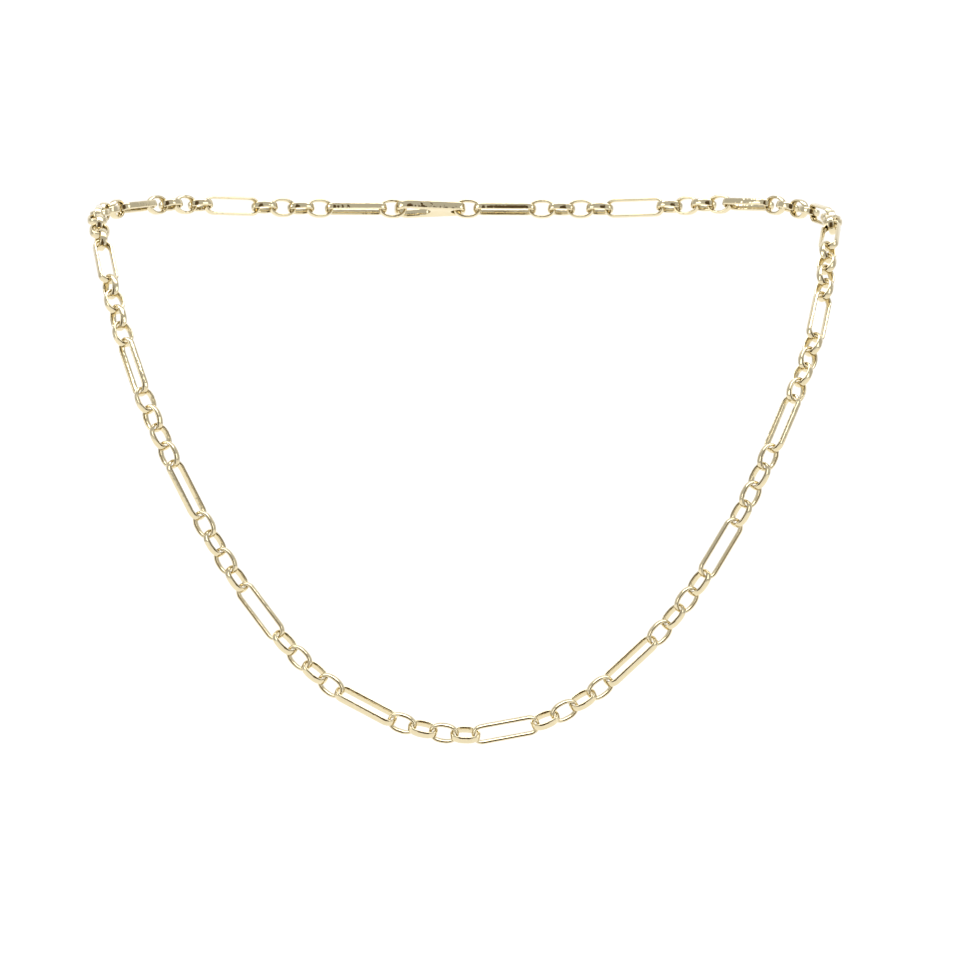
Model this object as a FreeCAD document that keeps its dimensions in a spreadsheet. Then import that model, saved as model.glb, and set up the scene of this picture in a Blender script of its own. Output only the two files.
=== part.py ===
import FreeCAD, Part
import math
import os
import Sketcher
from collections import namedtuple

# A figaro neck chain: one long oval link, then four small ones, all round the neck.
# Every other link leans the other way about the line of the chain, and each
# passes through the next. Millimetres, +Z up, the wearer faces -Y.
# The origin is on the axis of the neck, level with the nape.

Vector = FreeCAD.Vector
Constrain = Sketcher.Constraint

# Driving sizes, one cell of the sheet each.
SIZES = [
    ("wireThick", 0.5, "wire, measured in the plane of its link"),
    ("wireDeep", 1.2, "wire, measured across the plane of its link"),
    ("innerFlat", 0.6, "flat inner face of the wire"),
    ("outerFlat", 0.6, "flat outer face of the wire"),
    ("linkWidth", 3.4, "every link, outside"),
    ("longLength", 11.23, "long link, outside"),
    ("smallLength", 4.9, "small link, outside"),
    ("linkClearance", 0.39, "between two links where they meet"),
    ("linkLean", 38.5, "degrees each link leans from the line of the neck"),
    ("claspLength", 12.7, "clasp, outside"),
    ("claspWidth", 5.2, "clasp across its wide end"),
    ("claspTail", 3.4, "clasp across its narrow end"),
    ("claspThick", 1.5, "clasp, through its flat side"),
    ("claspWall", 0.85, "metal left round the eyes of the clasp"),
    ("claspSlot", 2.6, "length of straight in the eye of the wide end"),
    ("claspBevel", 0.3, "bevel on the clasp's edges"),
    ("neckHalf", 62.3, "half the width of the loop"),
    ("napeRise", 0.5, "height of the hidden stretch at the nape"),
]

BEND_SIDES = 5  # straight facets in each half round bend
FACET_HALF = 90 / (BEND_SIDES + 1)  # degrees from the middle of a facet to its end
SMALL_RUN = 4  # small links between two long ones
ANCHOR_LONG = 6  # the long link just right of the lowest point
LONG_COUNT = 19
RIGHT_GROUPS = 9  # runs of small links, each with its long one, right of the anchor
LEFT_GROUPS = 9

# Where the line of the chain passes, read from the photo: across the chest, back from
# the neck's axis and above the nape. facing and lift give the way that the chain
# lies towards there: degrees round from the front, and degrees up.
Station = namedtuple("Station", "across back rise facing lift")
FRONT = [
    Station(-62.7, -5.3, -2.7, -50, 40),
    Station(-60.2, -25.9, -10.8, -12, 15),
    Station(-55.0, -40.3, -28.4, -8, 0),
    Station(-46.0, -48.7, -48.7, 9, 6),
    Station(-33.8, -53.1, -68.8, 10, 10),
    Station(-16.3, -58.0, -84.8, 4, 15),
    Station(6.7, -59.4, -89.0, 0, 15),
    Station(27.8, -56.4, -77.2, -10, 11),
    Station(42.7, -53.7, -58.3, -9, 6),
    Station(52.9, -47.9, -37.8, -5, 3),
    Station(59.4, -33.6, -20.3, -7, 4),
    Station(61.9, -15.3, -6.3, 10, 25),
    Station(62.3, 6.7, -2.3, 72, 40),
]
NAPE_LIFT = 30  # degrees up that the skin looks behind the neck
NAPE_TURNS = (30, 60, 90, 120, 150)  # degrees round the half oval behind the neck
NAPE_SHALLOW, NAPE_DEEP = 25.0, 90.0  # millimetres between which the neck's depth is sought

HALVINGS = 50  # times that a search halves its range
SEARCH_REACH = 1.5  # how far a search for the next link looks, in link lengths
SPEED_SHARE = 1e-4  # of the line's parameter range, over which its speed is measured
CLASP_GAPS = 3  # link clearances that the clasp's two eyes take up
CUT_SHARE = 0.95  # an eye has to take at least the rest of the body away
SAME_HEIGHT = 1e-6  # millimetres

doc = FreeCAD.newDocument("FigaroChain")


def fillSheet():
    """Puts the driving sizes in a sheet and gives them back by name."""
    sheet = doc.addObject("Spreadsheet::Sheet", "Sizes")
    for row, (alias, value, note) in enumerate(SIZES, start=1):
        sheet.set(f"A{row}", note)
        sheet.set(f"B{row}", str(value))
        sheet.setAlias(f"B{row}", alias)
    doc.recompute()
    return {alias: float(getattr(sheet, alias)) for alias, _, _ in SIZES}


size = fillSheet()
bendRadius = (size["linkWidth"] - size["wireThick"]) / 2
eyeRadius = size["linkWidth"] / 2 - size["wireThick"]


def newSketch(body, name, role):
    """A sketch on one of the body's own origin planes."""
    sketch = body.newObject("Sketcher::SketchObject", name)
    plane = next(f for f in body.Origin.OriginFeatures if f.Role == role)
    sketch.AttachmentSupport = [(plane, "")]
    sketch.MapMode = "FlatFace"
    return sketch


def addNamed(sketch, name, constraint, expression):
    """Adds a constraint and binds its size to the sheet."""
    index = sketch.addConstraint(constraint)
    sketch.renameConstraint(index, name)
    sketch.setExpression(f"Constraints.{name}", expression)


def closeChain(sketch, points):
    """Draws a closed run of lines through the points."""
    count = len(points)
    for i in range(count):
        sketch.addGeometry(Part.LineSegment(points[i], points[(i + 1) % count]))
    for i in range(count):
        sketch.addConstraint(Constrain("Coincident", i, 2, (i + 1) % count, 1))


def sketchLinkPath(body, lengthAlias):
    """The middle line of the wire: two rails joined by two facetted half circles."""
    sketch = newSketch(body, "Path", "XY_Plane")
    reach = (size[lengthAlias] - size["linkWidth"]) / 2
    corner = bendRadius / math.cos(math.radians(FACET_HALF))
    points = [Vector(0, bendRadius, 0)]
    for side in (1, -1):
        for k in range(BEND_SIDES + 1):
            turn = math.radians(side * (90 - FACET_HALF * (2 * k + 1)))
            along = side * (reach + corner * math.cos(turn))
            points.append(Vector(along, corner * math.sin(turn), 0))
    closeChain(sketch, points)
    firstRail, secondRail, lastRail = 0, BEND_SIDES + 1, 2 * BEND_SIDES + 2
    for rail in (firstRail, secondRail, lastRail):
        sketch.addConstraint(Constrain("Horizontal", rail))
    sketch.addConstraint(Constrain("PointOnObject", firstRail, 1, -2))
    lastChord = secondRail - 1
    sketch.addConstraint(Constrain("Vertical", firstRail, 2, lastChord, 2))
    addNamed(sketch, "betweenRails",
             Constrain("DistanceY", lastChord, 2, firstRail, 2, 2 * bendRadius),
             "Sizes.linkWidth - Sizes.wireThick")
    for side, firstChord in ((1, firstRail + 1), (-1, secondRail + 1)):
        centre = Vector(side * reach, 0, 0)
        circle = sketch.addGeometry(Part.Circle(centre, Vector(0, 0, 1), corner), True)
        sketch.addConstraint(Constrain("PointOnObject", circle, 3, -1))
        for chord in range(firstChord, firstChord + BEND_SIDES):
            sketch.addConstraint(Constrain("PointOnObject", chord, 1, circle))
            if chord > firstChord:
                sketch.addConstraint(Constrain("Equal", chord, chord - 1))
        sketch.addConstraint(Constrain("PointOnObject", chord, 2, circle))
        end = "Right" if side > 0 else "Left"
        start, stop = ((-1, 1), (circle, 3)) if side > 0 else ((circle, 3), (-1, 1))
        addNamed(sketch, f"corner{end}", Constrain("Radius", circle, corner),
                 f"(Sizes.linkWidth - Sizes.wireThick) / 2 / cos({FACET_HALF} deg)")
        addNamed(sketch, f"reach{end}", Constrain("DistanceX", *start, *stop, reach),
                 f"(Sizes.{lengthAlias} - Sizes.linkWidth) / 2")
    return sketch


def sketchWire(body):
    """The six sided section of the wire, flat inside and a little crowned outside."""
    sketch = newSketch(body, "Section", "YZ_Plane")
    rings = [
        ("inner", bendRadius - size["wireThick"] / 2, "innerFlat",
         "Sizes.linkWidth / 2 - Sizes.wireThick"),
        ("middle", bendRadius, "wireDeep", "(Sizes.linkWidth - Sizes.wireThick) / 2"),
        ("outer", bendRadius + size["wireThick"] / 2, "outerFlat", "Sizes.linkWidth / 2"),
    ]
    low = [Vector(out, -size[deep] / 2, 0) for _, out, deep, _ in rings]
    high = [Vector(out, size[deep] / 2, 0) for _, out, deep, _ in reversed(rings)]
    closeChain(sketch, low + high)
    last = 2 * len(rings) - 1
    for i, (name, out, deep, place) in enumerate(rings):
        bottom, top = (i, 1), (last - i, 1)
        sketch.addConstraint(Constrain("Symmetric", *bottom, *top, -1))
        addNamed(sketch, f"{name}Place", Constrain("DistanceX", -1, 1, *bottom, out), place)
        addNamed(sketch, f"{name}Deep", Constrain("DistanceY", *bottom, *top, size[deep]),
                 f"Sizes.{deep}")
    return sketch


def makeLinkForm(name, lengthAlias):
    """One link, lying in XY with its long axis on X, as the pattern for the rest."""
    body = doc.addObject("PartDesign::Body", name)
    path = sketchLinkPath(body, lengthAlias)
    section = sketchWire(body)
    doc.recompute()
    wire = body.newObject("PartDesign::AdditivePipe", "Wire")
    wire.Profile = section
    wire.Spine = (path, [])
    wire.Transition = "Right corner"
    doc.recompute()
    return body


def addCircle(sketch, name, across, radius, placeBy, radiusBy):
    """A circle on the clasp's middle line, placed and sized by the sheet."""
    circle = sketch.addGeometry(Part.Circle(Vector(across, 0, 0), Vector(0, 0, 1), radius))
    sketch.addConstraint(Constrain("PointOnObject", circle, 3, -1))
    start, stop = ((-1, 1), (circle, 3)) if across > 0 else ((circle, 3), (-1, 1))
    addNamed(sketch, f"{name}Place", Constrain("DistanceX", *start, *stop, abs(across)), placeBy)
    addNamed(sketch, f"{name}Radius", Constrain("Radius", circle, radius), radiusBy)
    return circle


def makeTaper(sketch, wideAcross, wideRadius, tailAcross, tailRadius):
    """A closed outline of two arcs and the two lines that touch them both."""
    lean = math.asin((wideRadius - tailRadius) / (wideAcross - tailAcross))
    turn = math.pi / 2 - lean
    up = Vector(0, 0, 1)
    wideCircle = Part.Circle(Vector(wideAcross, 0, 0), up, wideRadius)
    tailCircle = Part.Circle(Vector(tailAcross, 0, 0), up, tailRadius)
    wide = sketch.addGeometry(Part.ArcOfCircle(wideCircle, -turn, turn))
    tail = sketch.addGeometry(Part.ArcOfCircle(tailCircle, turn, 2 * math.pi - turn))

    def touch(across, radius, side):
        return Vector(across + radius * math.cos(turn), side * radius * math.sin(turn), 0)

    for side, wideEnd, tailEnd in ((1, 2, 1), (-1, 1, 2)):
        line = sketch.addGeometry(Part.LineSegment(touch(wideAcross, wideRadius, side),
                                                   touch(tailAcross, tailRadius, side)))
        sketch.addConstraint(Constrain("Tangent", wide, wideEnd, line, 1))
        sketch.addConstraint(Constrain("Tangent", line, 2, tail, tailEnd))
    for arc in (wide, tail):
        sketch.addConstraint(Constrain("PointOnObject", arc, 3, -1))
    return wide, tail


def makeClaspForm():
    """A plain tapered clasp with an eye at each end, lying in XY."""
    body = doc.addObject("PartDesign::Body", "ClaspForm")
    outline = newSketch(body, "Outline", "XY_Plane")
    wideRadius, tailRadius = size["claspWidth"] / 2, size["claspTail"] / 2
    wideAcross = size["claspLength"] / 2 - wideRadius
    tailAcross = tailRadius - size["claspLength"] / 2
    wide, tail = makeTaper(outline, wideAcross, wideRadius, tailAcross, tailRadius)
    addNamed(outline, "wideRadius", Constrain("Radius", wide, wideRadius), "Sizes.claspWidth / 2")
    addNamed(outline, "tailRadius", Constrain("Radius", tail, tailRadius), "Sizes.claspTail / 2")
    addNamed(outline, "widePlace", Constrain("DistanceX", -1, 1, wide, 3, wideAcross),
             "(Sizes.claspLength - Sizes.claspWidth) / 2")
    addNamed(outline, "tailPlace", Constrain("DistanceX", tail, 3, -1, 1, -tailAcross),
             "(Sizes.claspLength - Sizes.claspTail) / 2")
    doc.recompute()
    plate = body.newObject("PartDesign::Pad", "Plate")
    plate.Profile = outline
    plate.Midplane = True
    plate.Length = size["claspThick"]
    plate.setExpression("Length", "Sizes.claspThick")
    doc.recompute()
    eyes = newSketch(body, "Eyes", "XY_Plane")
    slotRadius = wideRadius - size["claspWall"]
    slotInner = wideAcross - size["claspSlot"]
    slotWide, slotTail = makeTaper(eyes, wideAcross, slotRadius, slotInner, eyeRadius)
    addNamed(eyes, "slotRadius", Constrain("Radius", slotWide, slotRadius),
             "Sizes.claspWidth / 2 - Sizes.claspWall")
    addNamed(eyes, "slotEnd", Constrain("Radius", slotTail, eyeRadius),
             "Sizes.linkWidth / 2 - Sizes.wireThick")
    addNamed(eyes, "slotPlace", Constrain("DistanceX", -1, 1, slotWide, 3, wideAcross),
             "(Sizes.claspLength - Sizes.claspWidth) / 2")
    addNamed(eyes, "slotStraight", Constrain("DistanceX", slotTail, 3, slotWide, 3, size["claspSlot"]),
             "Sizes.claspSlot")
    addCircle(eyes, "tailEye", tailAcross, tailRadius - size["claspWall"],
              "(Sizes.claspLength - Sizes.claspTail) / 2", "Sizes.claspTail / 2 - Sizes.claspWall")
    doc.recompute()
    before = body.Shape.Volume
    holes = body.newObject("PartDesign::Pocket", "Holes")
    holes.Profile = eyes
    holes.Type = "ThroughAll"
    holes.Midplane = True
    doc.recompute()
    if body.Shape.Volume > before * CUT_SHARE:
        raise RuntimeError("the eyes of the clasp cut nothing")
    flat = size["claspThick"] / 2
    rims = [f"Edge{i}" for i, edge in enumerate(holes.Shape.Edges, start=1)
            if all(abs(abs(v.Z) - flat) < SAME_HEIGHT for v in edge.Vertexes)]
    soft = body.newObject("PartDesign::Chamfer", "SoftEdges")
    soft.Base = (holes, rims)
    soft.Size = size["claspBevel"]
    soft.setExpression("Size", "Sizes.claspBevel")
    doc.recompute()
    return body


def skinLooks(facing, lift):
    """The way the skin looks, from degrees round from the front and degrees up."""
    round_, up = math.radians(facing), math.radians(lift)
    flat = math.cos(up)
    return Vector(math.sin(round_) * flat, -math.cos(round_) * flat, math.sin(up))


def layStations(napeDepth):
    """The front stations, then a plain half oval behind the neck."""
    stations = list(FRONT)
    for turn in NAPE_TURNS:
        way = math.radians(turn)
        stations.append(Station(size["neckHalf"] * math.cos(way), napeDepth * math.sin(way),
                                size["napeRise"] * math.sin(way), 90 + turn, NAPE_LIFT))
    return stations


class NeckLine:
    """The closed line that the middles of the meeting links follow."""

    def __init__(self, napeDepth):
        self.stations = layStations(napeDepth)
        points = [Vector(s.across, s.back, s.rise) for s in self.stations]
        self.curve = Part.BSplineCurve()
        self.curve.interpolate(points, PeriodicFlag=True)
        self.first, self.last = self.curve.FirstParameter, self.curve.LastParameter
        self.marks = [self.curve.parameter(p) for p in points]

    def at(self, place):
        span = self.last - self.first
        return self.curve.value(self.first + (place - self.first) % span)

    def step(self, place, length, way):
        """The place whose straight distance from this one is the length."""
        start = self.at(place)
        near, far = place, place + way * length * SEARCH_REACH / self.speed(place)
        for _ in range(HALVINGS):
            middle = (near + far) / 2
            if (self.at(middle) - start).Length < length:
                near = middle
            else:
                far = middle
        return (near + far) / 2

    def speed(self, place):
        """Millimetres along the line for one unit of its parameter."""
        small = (self.last - self.first) * SPEED_SHARE
        return (self.at(place + small) - self.at(place - small)).Length / (2 * small)

    def outward(self, place):
        """The way the skin looks at a place, between its two nearest stations."""
        span = self.last - self.first
        place = self.first + (place - self.first) % span
        marks = self.marks + [self.last]
        after = next(i for i, mark in enumerate(marks) if i and mark >= place)
        low, high = self.stations[after - 1], self.stations[after % len(self.stations)]
        share = (place - marks[after - 1]) / (marks[after] - marks[after - 1])
        turn = (high.facing - low.facing + 180) % 360 - 180
        return skinLooks(low.facing + share * turn, low.lift + share * (high.lift - low.lift))


# From one meeting point to the next.
STEP_OF = {
    "long": size["longLength"] - 2 * size["wireThick"] - size["linkClearance"],
    "small": size["smallLength"] - 2 * size["wireThick"] - size["linkClearance"],
    "clasp": size["claspLength"] - 2 * size["claspWall"] - CLASP_GAPS * size["linkClearance"],
}
ANCHOR_ACROSS = 2.1  # where the anchor link's left meeting point is
ANCHOR_AFTER = 5  # the station that this point comes after

Link = namedtuple("Link", "kind number start end lean outward")


def walk(line, place, kinds, way, lean, number):
    """Steps links one after another along the line, each leaning opposite to the last."""
    links = []
    for kind in kinds:
        if kind == "long":
            number = (number + way - 1) % LONG_COUNT + 1
        beyond = line.step(place, STEP_OF[kind], way)
        ends = (line.at(place), line.at(beyond))
        start, end = ends if way > 0 else ends[::-1]
        links.append(Link(kind, number, start, end, lean, line.outward((place + beyond) / 2)))
        place, lean = beyond, -lean
    return links, place, lean


def findAnchor(line):
    """The place on the line where the anchor link begins."""
    low, high = line.marks[ANCHOR_AFTER], line.marks[ANCHOR_AFTER + 1]
    for _ in range(HALVINGS):
        middle = (low + high) / 2
        if line.at(middle).x < ANCHOR_ACROSS:
            low = middle
        else:
            high = middle
    return low


def layChain(napeDepth):
    """All links, and how much too wide the gap left for the clasp is."""
    line = NeckLine(napeDepth)
    anchor = findAnchor(line)
    group = ["small"] * SMALL_RUN + ["long"]
    toRight = ["long"] + group * RIGHT_GROUPS + ["small"]
    toLeft = group * LEFT_GROUPS + ["small"]
    right, rightPlace, lean = walk(line, anchor, toRight, 1, 1, ANCHOR_LONG - 1)
    left, leftPlace, _ = walk(line, anchor, toLeft, -1, -1, ANCHOR_LONG)
    start, end = line.at(rightPlace), line.at(leftPlace)
    leftPlace += line.last - line.first
    clasp = Link("clasp", 0, start, end, lean, line.outward((rightPlace + leftPlace) / 2))
    gap = math.copysign((end - start).Length, leftPlace - rightPlace)
    return left, right, clasp, gap - STEP_OF["clasp"]


def closeLoop():
    """Finds the depth behind the neck at which the chain just closes."""
    low, high = NAPE_SHALLOW, NAPE_DEEP
    for _ in range(HALVINGS):
        middle = (low + high) / 2
        if layChain(middle)[3] < 0:
            low = middle
        else:
            high = middle
    return middle


def placeOf(link):
    """Lays a form along its two meeting points, leaning about the line of the chain."""
    along = (link.end - link.start).normalize()
    outward = (link.outward - along * link.outward.dot(along)).normalize()
    inward = outward.cross(along)
    lean = math.radians(size["linkLean"]) * link.lean
    wide = inward * math.cos(lean) + outward * math.sin(lean)
    turn = FreeCAD.Rotation(along, wide, along.cross(wide), "XYZ")
    return FreeCAD.Placement((link.start + link.end) * 0.5, turn)


def addPiece(name, shape, placement):
    """A named piece of the chain, ready to write."""
    piece = doc.addObject("Part::Feature", name)
    piece.Label = name
    piece.Shape = shape.copy()
    piece.Placement = placement
    return piece


def copiesOf(form, links):
    """Loose copies of a form, one for each link, held in one shape."""
    copies = []
    for link in links:
        copy = form.Shape.copy()
        copy.Placement = placeOf(link)
        copies.append(copy)
    return Part.makeCompound(copies)


def buildChain():
    """Makes the forms, lays the chain and gives back the pieces to write."""
    longForm = makeLinkForm("LongForm", "longLength")
    smallForm = makeLinkForm("SmallForm", "smallLength")
    claspForm = makeClaspForm()
    napeDepth = closeLoop()
    left, right, clasp, _ = layChain(napeDepth)
    everyLink = left + right
    pieces = []
    for link in sorted((l for l in everyLink if l.kind == "long"), key=lambda l: l.number):
        pieces.append(addPiece(f"long_link_{link.number:02d}", longForm.Shape, placeOf(link)))
    for name, links in (("small_links_left", left), ("small_links_right", right)):
        smalls = [link for link in links if link.kind == "small"]
        pieces.append(addPiece(name, copiesOf(smallForm, smalls), FreeCAD.Placement()))
    pieces.append(addPiece("clasp", claspForm.Shape, placeOf(clasp)))
    length = sum(STEP_OF[link.kind] for link in everyLink + [clasp])
    print(f"nape depth {napeDepth:.2f} mm, chain {length:.1f} mm, {len(everyLink)} links")
    return pieces


def checkAll(pieces):
    """Stops if any object failed or any piece is empty or broken."""
    doc.recompute()
    for thing in doc.Objects:
        if {"Invalid", "Error"} & set(thing.State):
            raise RuntimeError(f"{thing.Label} failed: {thing.State}")
    for piece in pieces:
        if piece.Shape.isNull() or not piece.Shape.isValid():
            raise RuntimeError(f"{piece.Label} has no sound shape")


def writePieces(pieces):
    """Writes each piece to its own file."""
    os.makedirs("parts", exist_ok=True)
    for piece in pieces:
        piece.Shape.exportStep(f"parts/{piece.Label}.step")


pieces = buildChain()
checkAll(pieces)
writePieces(pieces)
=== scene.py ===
import math

import bpy
import numpy as np
from mathutils import Matrix, Vector


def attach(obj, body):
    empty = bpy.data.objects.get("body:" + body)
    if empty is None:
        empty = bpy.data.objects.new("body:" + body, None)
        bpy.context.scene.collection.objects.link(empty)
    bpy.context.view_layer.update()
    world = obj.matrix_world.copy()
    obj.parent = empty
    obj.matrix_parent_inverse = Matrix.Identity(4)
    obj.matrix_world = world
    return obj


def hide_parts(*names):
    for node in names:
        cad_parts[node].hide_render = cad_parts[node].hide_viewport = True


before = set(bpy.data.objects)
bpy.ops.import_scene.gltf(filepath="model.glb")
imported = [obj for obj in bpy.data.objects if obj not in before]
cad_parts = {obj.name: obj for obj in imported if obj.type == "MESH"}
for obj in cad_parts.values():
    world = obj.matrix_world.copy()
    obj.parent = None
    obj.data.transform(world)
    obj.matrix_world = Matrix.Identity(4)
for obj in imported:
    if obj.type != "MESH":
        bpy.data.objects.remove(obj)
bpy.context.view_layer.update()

mm = 0.001


def deselectAll():
    if bpy.context.object and bpy.context.object.mode != "OBJECT":
        bpy.ops.object.mode_set(mode="OBJECT")
    bpy.ops.object.select_all(action="DESELECT")


def takeUp(piece):
    deselectAll()
    piece.select_set(True)
    bpy.context.view_layer.objects.active = piece


def applyModifier(piece, kind, **settings):
    takeUp(piece)
    modifier = piece.modifiers.new(kind.title(), kind)
    for name, value in settings.items():
        setattr(modifier, name, value)
    bpy.ops.object.modifier_apply(modifier=modifier.name)


# Selects corners by their place, in edit mode, and nothing else.
def pickCorners(piece, wanted):
    takeUp(piece)
    bpy.ops.object.mode_set(mode="EDIT")
    bpy.ops.mesh.select_all(action="DESELECT")
    bpy.ops.object.mode_set(mode="OBJECT")
    for corner in piece.data.vertices:
        corner.select = wanted(corner.co)
    bpy.ops.object.mode_set(mode="EDIT")


# Every piece ends at the origin, unturned, with its place in its mesh.
def settle(piece, name):
    takeUp(piece)
    bpy.ops.object.transform_apply(location=True, rotation=True, scale=True)
    piece.name = name
    piece.data.name = name


# The chain, in millimetres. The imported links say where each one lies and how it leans.
chain = {
    "linkWidth": 3.4,
    "longLength": 11.23,
    "smallLength": 4.9,
    "wireThick": 0.55,
    "wireDeep": 1.2,
    "wireSquare": 0.3,  # 0 is an oval wire and 1 a square edged strip
    "wireSides": 20,
    "seatGrow": 0.1,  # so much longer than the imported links, which keep a gap
    "longStretch": 1.08,  # how much longer than round each bend is
    "smallStretch": 1.42,
    "linkSteps": 40,
    "sweptWeld": 0.002,  # corners nearer than this become one
    "packedWeld": 0.001,
}


# The wire's section: a circle pushed a little towards a box, then flattened.
def makeSection():
    deselectAll()
    bpy.ops.mesh.primitive_circle_add(vertices=chain["wireSides"], radius=0.5 * mm)
    section = bpy.context.object
    applyModifier(section, "CAST", cast_type="CUBOID", factor=chain["wireSquare"])
    section.scale = (chain["wireThick"], chain["wireDeep"], 1)
    settle(section, "wireSection")
    print("wire section", [round(d / mm, 3) for d in section.dimensions])
    bpy.ops.object.convert(target="CURVE")
    return section


# A ring pulled out into an oval, then swept with the wire's section.
def makeLinkForm(name, section, length, stretch):
    bend = (chain["linkWidth"] - chain["wireThick"]) * mm / 2
    reach = (length + chain["seatGrow"] - chain["wireThick"]) * mm / 2 - bend * stretch
    deselectAll()
    bpy.ops.mesh.primitive_circle_add(vertices=chain["linkSteps"], radius=bend,
                                      rotation=(0, 0, math.pi / chain["linkSteps"]))
    form = bpy.context.object
    bpy.ops.object.transform_apply(location=True, rotation=True, scale=True)
    form.scale = (stretch, 1, 1)
    bpy.ops.object.transform_apply(location=True, rotation=True, scale=True)
    for side in (1, -1):
        pickCorners(form, lambda place: place.x * side > 0)
        bpy.ops.transform.translate(value=(side * reach, 0, 0))
        bpy.ops.object.mode_set(mode="OBJECT")
    bpy.ops.object.convert(target="CURVE")
    form.data.twist_mode = "Z_UP"
    form.data.bevel_mode = "OBJECT"
    form.data.bevel_object = section
    bpy.ops.object.convert(target="MESH")
    bpy.ops.object.mode_set(mode="EDIT")
    bpy.ops.mesh.select_all(action="SELECT")
    bpy.ops.mesh.remove_doubles(threshold=chain["sweptWeld"] * mm)
    bpy.ops.mesh.normals_make_consistent(inside=False)
    bpy.ops.object.mode_set(mode="OBJECT")
    bpy.ops.object.shade_smooth()
    settle(form, name)
    print(name, len(form.data.polygons), "faces", [round(d / mm, 3) for d in form.dimensions])
    return form


# One plain flat piece with an eye at each end, in millimetres and degrees.
clasp = {
    "length": 12.7,
    "width": 5.2,
    "tail": 3.4,
    "thick": 1.5,
    "wall": 0.85,
    "slot": 2.6,
    "edge": 0.32,
    "sides": 64,
    "edgeSteps": 4,
    "edgeAngle": 40,  # degrees between two faces that share a softened edge
    "smoothAngle": 30,
    "flatAngle": 1,
    "cutterTall": 3,  # times the clasp's own thickness
    "endDifference": 0.1,  # by how much the wide end has to be the wider to be known
}


# A round post, for the clasp's ends and eyes.
def addPost(across, radius, tall):
    bpy.ops.mesh.primitive_cylinder_add(vertices=clasp["sides"], radius=radius * mm,
                                        depth=tall * mm, location=(across * mm, 0, 0))
    return bpy.context.object


# Two posts and the smooth taper round them.
def addTaper(name, wide, tail, tall):
    deselectAll()
    first = addPost(*wide, tall)
    second = addPost(*tail, tall)
    deselectAll()
    first.select_set(True)
    second.select_set(True)
    bpy.context.view_layer.objects.active = first
    bpy.ops.object.join()
    bpy.ops.object.mode_set(mode="EDIT")
    bpy.ops.mesh.select_all(action="SELECT")
    bpy.ops.mesh.convex_hull()
    bpy.ops.mesh.select_all(action="SELECT")
    bpy.ops.mesh.dissolve_limited(angle_limit=math.radians(clasp["flatAngle"]))
    bpy.ops.object.mode_set(mode="OBJECT")
    settle(first, name)
    return first


def makeClaspForm():
    wideRadius, tailRadius = clasp["width"] / 2, clasp["tail"] / 2
    wideAcross = clasp["length"] / 2 - wideRadius
    tailAcross = tailRadius - clasp["length"] / 2
    eyeRadius = chain["linkWidth"] / 2 - chain["wireThick"]
    cutterTall = clasp["thick"] * clasp["cutterTall"]
    plate = addTaper("claspForm", (wideAcross, wideRadius), (tailAcross, tailRadius),
                     clasp["thick"])
    slot = addTaper("claspSlot", (wideAcross, wideRadius - clasp["wall"]),
                    (wideAcross - clasp["slot"], eyeRadius), cutterTall)
    deselectAll()
    eye = addPost(tailAcross, tailRadius - clasp["wall"], cutterTall)
    settle(eye, "claspEye")
    for cutter in (slot, eye):
        applyModifier(plate, "BOOLEAN", object=cutter, operation="DIFFERENCE", solver="EXACT")
        bpy.data.objects.remove(cutter)
    applyModifier(plate, "BEVEL", width=clasp["edge"] * mm, segments=clasp["edgeSteps"],
                  limit_method="ANGLE", angle_limit=math.radians(clasp["edgeAngle"]))
    bpy.ops.object.shade_smooth_by_angle(angle=math.radians(clasp["smoothAngle"]))
    print("clasp", len(plate.data.polygons), "faces")
    return plate


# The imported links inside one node, each as its middle and the three ways it points.
def findLinks(node):
    deselectAll()
    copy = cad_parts[node].copy()
    copy.data = copy.data.copy()
    bpy.context.collection.objects.link(copy)
    takeUp(copy)
    bpy.ops.object.mode_set(mode="EDIT")
    bpy.ops.mesh.select_all(action="SELECT")
    bpy.ops.mesh.remove_doubles(threshold=chain["packedWeld"] * mm)
    bpy.ops.mesh.separate(type="LOOSE")
    bpy.ops.object.mode_set(mode="OBJECT")
    found = []
    for part in list(bpy.context.selected_objects):
        corners = np.array([v.co for v in part.data.vertices])
        ways = np.linalg.svd(corners - corners.mean(0), full_matrices=False)[2]
        spread = corners @ ways.T
        middle = (spread.min(0) + spread.max(0)) / 2
        reach = np.abs(spread[:, 1] - middle[1])
        first = reach[spread[:, 0] < middle[0]].max()
        second = reach[spread[:, 0] > middle[0]].max()
        if first > second + clasp["endDifference"] * mm:  # only the clasp has a wide end
            ways[0] *= -1
            middle[0] *= -1
        ways[2] = np.cross(ways[0], ways[1])
        middle[2] = ways[2] @ corners.mean(0)
        place = Matrix([list(way) for way in ways]).transposed().to_4x4()
        place.translation = Vector(middle @ ways)
        found.append(place)
        bpy.data.objects.remove(part)
    return found


# A copy of the form at each link of the node, joined as one piece.
def dressNode(node, name, form):
    copies = []
    for place in findLinks(node):
        copy = form.copy()
        copy.data = form.data.copy()
        copy.data.transform(place)
        bpy.context.collection.objects.link(copy)
        copies.append(copy)
    takeUp(copies[0])
    for copy in copies:
        copy.select_set(True)
    if len(copies) > 1:
        bpy.ops.object.join()
    piece = copies[0]
    settle(piece, name)
    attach(piece, "root")
    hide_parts(node)
    return piece


def fromHex(text):
    parts = [int(text[i:i + 2], 16) / 255 for i in (1, 3, 5)]
    return [p / 12.92 if p <= 0.04045 else ((p + 0.055) / 1.055) ** 2.4 for p in parts] + [1]


def addNode(tree, kind, links=(), **settings):
    node = tree.nodes.new(kind)
    for name, value in settings.items():
        if name in node.inputs:
            node.inputs[name].default_value = value
        else:
            setattr(node, name, value)
    for source, target in links:
        tree.links.new(source, node.inputs[target])
    return node


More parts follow.
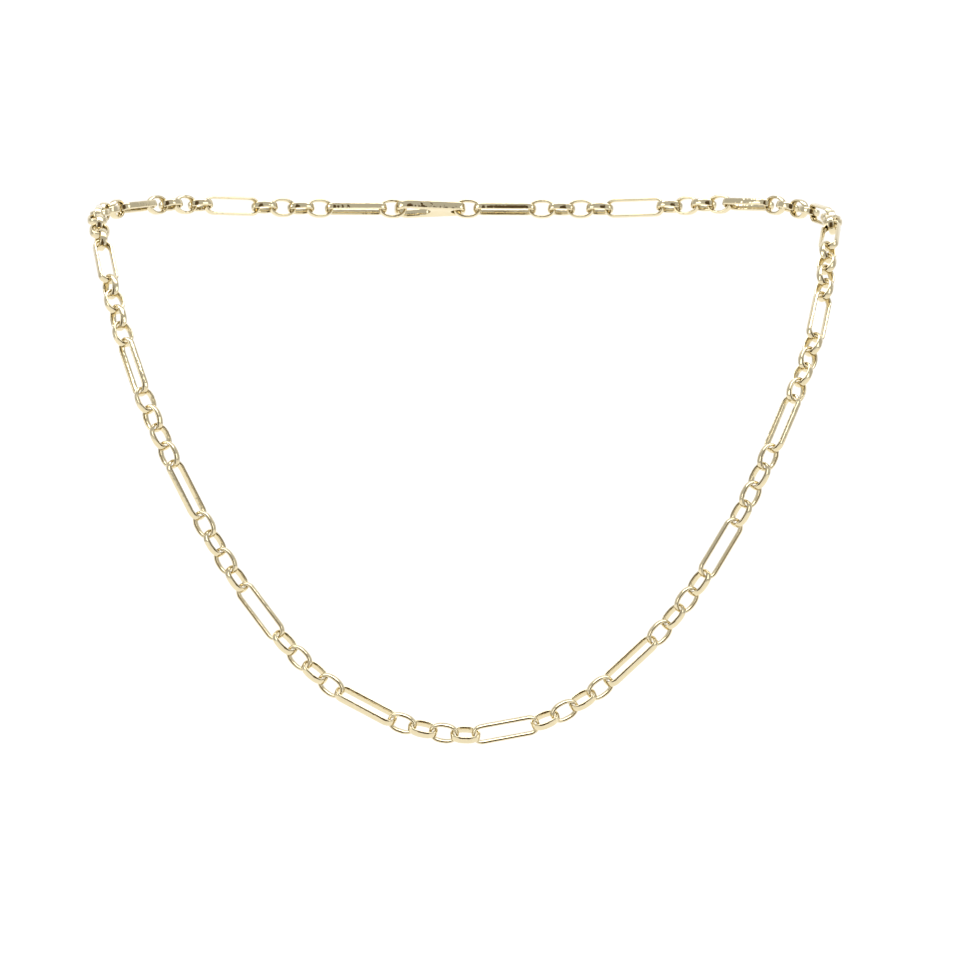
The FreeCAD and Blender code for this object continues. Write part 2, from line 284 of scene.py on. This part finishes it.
def newMaterial(name):
    material = bpy.data.materials.new(name)
    material.use_nodes = True
    tree = material.node_tree
    shader = tree.nodes["Principled BSDF"]
    return material, tree, shader


goldLook = {
    "colour": "#E0D3B0",
    "roughness": 0.07,
    "waveSize": 0.9,  # millimetres from one soft dent of the polishing mop to the next
    "waveDepth": 0.07,
    "waveDetail": 1.0,
}


# Fourteen carat gold, drawn as flat wire, linked and mop polished: a pale warm mirror whose
# faces are a little wavy, so a straight light breaks up along each rail.
def makeGold():
    material, tree, shader = newMaterial("polishedGold")
    shader.inputs["Base Color"].default_value = fromHex(goldLook["colour"])
    shader.inputs["Metallic"].default_value = 1
    shader.inputs["Roughness"].default_value = goldLook["roughness"]
    place = addNode(tree, "ShaderNodeTexCoord")
    wave = addNode(tree, "ShaderNodeTexNoise", [(place.outputs["Object"], "Vector")],
                   Scale=1 / (goldLook["waveSize"] * mm), Detail=goldLook["waveDetail"])
    bump = addNode(tree, "ShaderNodeBump", [(wave.outputs["Fac"], "Height")],
                   Strength=1.0, Distance=goldLook["waveDepth"] * mm)
    tree.links.new(bump.outputs["Normal"], shader.inputs["Normal"])
    return material


# The paper's size in millimetres, about the origin.
backdrop = {
    "colour": "#F6F5F3",
    "roughness": 0.9,
    "specular": 0.2,
    "width": 5000,
    "front": 2600,
    "back": 1600,
    "drop": 175,  # from the origin down to the floor
    "height": 2600,
    "sweep": 260,
    "sweepSteps": 24,
}


# Matt white paper, which only gives back a soft even light.
def makePaper():
    material, _, shader = newMaterial("mattPaper")
    shader.inputs["Base Color"].default_value = fromHex(backdrop["colour"])
    shader.inputs["Roughness"].default_value = backdrop["roughness"]
    shader.inputs["Specular IOR Level"].default_value = backdrop["specular"]
    return material


# One sheet of paper: floor, sweep and wall.
def addBackdrop():
    deselectAll()
    deep = (backdrop["front"] + backdrop["back"]) * mm
    backEdge = backdrop["back"] * mm
    bpy.ops.mesh.primitive_plane_add(size=1, location=(0, backEdge - deep / 2,
                                                       -backdrop["drop"] * mm))
    paper = bpy.context.object
    paper.scale = (backdrop["width"] * mm, deep, 1)
    bpy.ops.object.transform_apply(location=True, rotation=True, scale=True)
    bpy.ops.object.mode_set(mode="EDIT")
    bpy.ops.mesh.select_mode(type="EDGE")
    bpy.ops.mesh.select_all(action="DESELECT")
    bpy.ops.object.mode_set(mode="OBJECT")
    for edge in paper.data.edges:
        edge.select = all(paper.data.vertices[i].co.y > backEdge - mm for i in edge.vertices)
    bpy.ops.object.mode_set(mode="EDIT")
    rise = (0, 0, backdrop["height"] * mm)
    bpy.ops.mesh.extrude_region_move(TRANSFORM_OT_translate={"value": rise})
    bpy.ops.mesh.select_all(action="DESELECT")
    bpy.ops.object.mode_set(mode="OBJECT")
    for edge in paper.data.edges:
        edge.select = all(paper.data.vertices[i].co.y > backEdge - mm
                          and paper.data.vertices[i].co.z < 0 for i in edge.vertices)
    bpy.ops.object.mode_set(mode="EDIT")
    bpy.ops.mesh.bevel(offset=backdrop["sweep"] * mm, segments=backdrop["sweepSteps"])
    bpy.ops.object.mode_set(mode="OBJECT")
    bpy.ops.object.shade_smooth()
    settle(paper, "backdrop")
    paper.data.materials.append(makePaper())
    return paper


# Each softbox: its place, the point that it faces, its width and height, and its watts.
softboxes = {
    "topBox": ((0, 100, 650), (0, -20, -40), 900, 500, 1.8),
    "leftBox": ((-900, -250, 250), (0, 0, -40), 400, 500, 1.3),
    "rightBox": ((900, -250, 250), (0, 0, -40), 400, 500, 1.1),
    "wallBox": ((0, 300, 1300), (0, 1400, 0), 2400, 600, 18),
}


def addSoftbox(name, place, aim, wide, high, watts):
    bpy.ops.object.light_add(type="AREA", location=[p * mm for p in place])
    box = bpy.context.object
    box.name = name
    way = Vector([a * mm for a in aim]) - box.location
    box.rotation_euler = way.to_track_quat("-Z", "Y").to_euler()
    box.data.shape = "RECTANGLE"
    box.data.size = wide * mm
    box.data.size_y = high * mm
    box.data.energy = watts
    return box


# Two cards that only the polished metal sees, as opposite corners: one stands before the chain
# and one lies at its foot. Their colour is a painted reflection of shade, standing in for the
# dim room around the chain, and it draws the dark lines along the rails.
darkCards = {
    # the colour of the painted reflected shade that the gold shows along its rails
    "colour": "#4C3C22",
    "roughness": 1.0,
    "corners": {
        "darkRoom": ((-115, -302, -172), (115, -300, 330)),
        "shadeBelow": ((-115, -300, -172), (115, -200, -170)),
    },
}


# Painted reflected shade: a matt brown sheet, as dark and warm as the dim room that gold
# reflects.
def makeReflectedShade():
    material, _, shader = newMaterial("darkCard")
    shader.inputs["Base Color"].default_value = fromHex(darkCards["colour"])
    shader.inputs["Roughness"].default_value = darkCards["roughness"]
    return material


def addCard(name, low, high, material):
    deselectAll()
    middle = [(a + b) / 2 * mm for a, b in zip(low, high)]
    bpy.ops.mesh.primitive_cube_add(size=1, location=middle)
    card = bpy.context.object
    card.scale = [(b - a) * mm for a, b in zip(low, high)]
    settle(card, name)
    card.data.materials.append(material)
    # Seen only in the metal's reflections, so the card is painted reflected shade and nothing
    # else.
    card.visible_camera = False
    card.visible_shadow = False
    card.visible_diffuse = False
    return card


# The photo's frame and how far away its eye was, from the spread of the links' sizes.
photo = {
    "wide": 962,
    "millimetresPerPixel": 0.163,
    "eyeDistance": 1150,  # in front of the lowest links
    "lowestBack": -59.4,
    "aimAcross": 2.9,
    "aimUp": -47.9,
    "sensor": 36,
    "nearest": 50,  # nothing nearer to the eye is drawn
}


def addCamera():
    eye = photo["lowestBack"] - photo["eyeDistance"]
    bpy.ops.object.camera_add(location=(photo["aimAcross"] * mm, eye * mm, photo["aimUp"] * mm),
                              rotation=(math.pi / 2, 0, 0))
    camera = bpy.context.object
    camera.data.sensor_width = photo["sensor"]
    seen = photo["wide"] * photo["millimetresPerPixel"]
    camera.data.lens = photo["sensor"] * photo["eyeDistance"] / seen
    camera.data.clip_start = photo["nearest"] * mm
    bpy.context.scene.camera = camera
    return camera


surroundings = {
    "colour": "#FFFFFF",
    "strength": 0.6,
}


# Even white light from all round.
def addSurroundings():
    world = bpy.data.worlds.new("studio")
    bpy.context.scene.world = world
    world.use_nodes = True
    light = world.node_tree.nodes["Background"]
    light.inputs["Color"].default_value = fromHex(surroundings["colour"])
    light.inputs["Strength"].default_value = surroundings["strength"]


deselectAll()
gold = makeGold()
section = makeSection()
longForm = makeLinkForm("longForm", section, chain["longLength"], chain["longStretch"])
smallForm = makeLinkForm("smallForm", section, chain["smallLength"], chain["smallStretch"])
bpy.data.objects.remove(section)
claspForm = makeClaspForm()
for form in (longForm, smallForm, claspForm):
    form.data.materials.clear()
    form.data.materials.append(gold)

longNodes = sorted(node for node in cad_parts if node.startswith("long_link"))
for node in longNodes:
    dressNode(node, "longLink" + node[-2:], longForm)
print("long links", len(longNodes))
dressNode("small_links_left", "smallLinksLeft", smallForm)
dressNode("small_links_right", "smallLinksRight", smallForm)
dressNode("clasp", "napeClasp", claspForm)
print("small links and clasp")
for form in (longForm, smallForm, claspForm):
    bpy.data.objects.remove(form)

addBackdrop()
for name, light in softboxes.items():
    addSoftbox(name, *light)
reflectedShade = makeReflectedShade()
for name, corners in darkCards["corners"].items():
    addCard(name, *corners, reflectedShade)
addSurroundings()
# The standard view keeps white paper white, as the photo has it.
bpy.context.scene.view_settings.view_transform = "Standard"
addCamera()
print("backdrop, lights and camera")
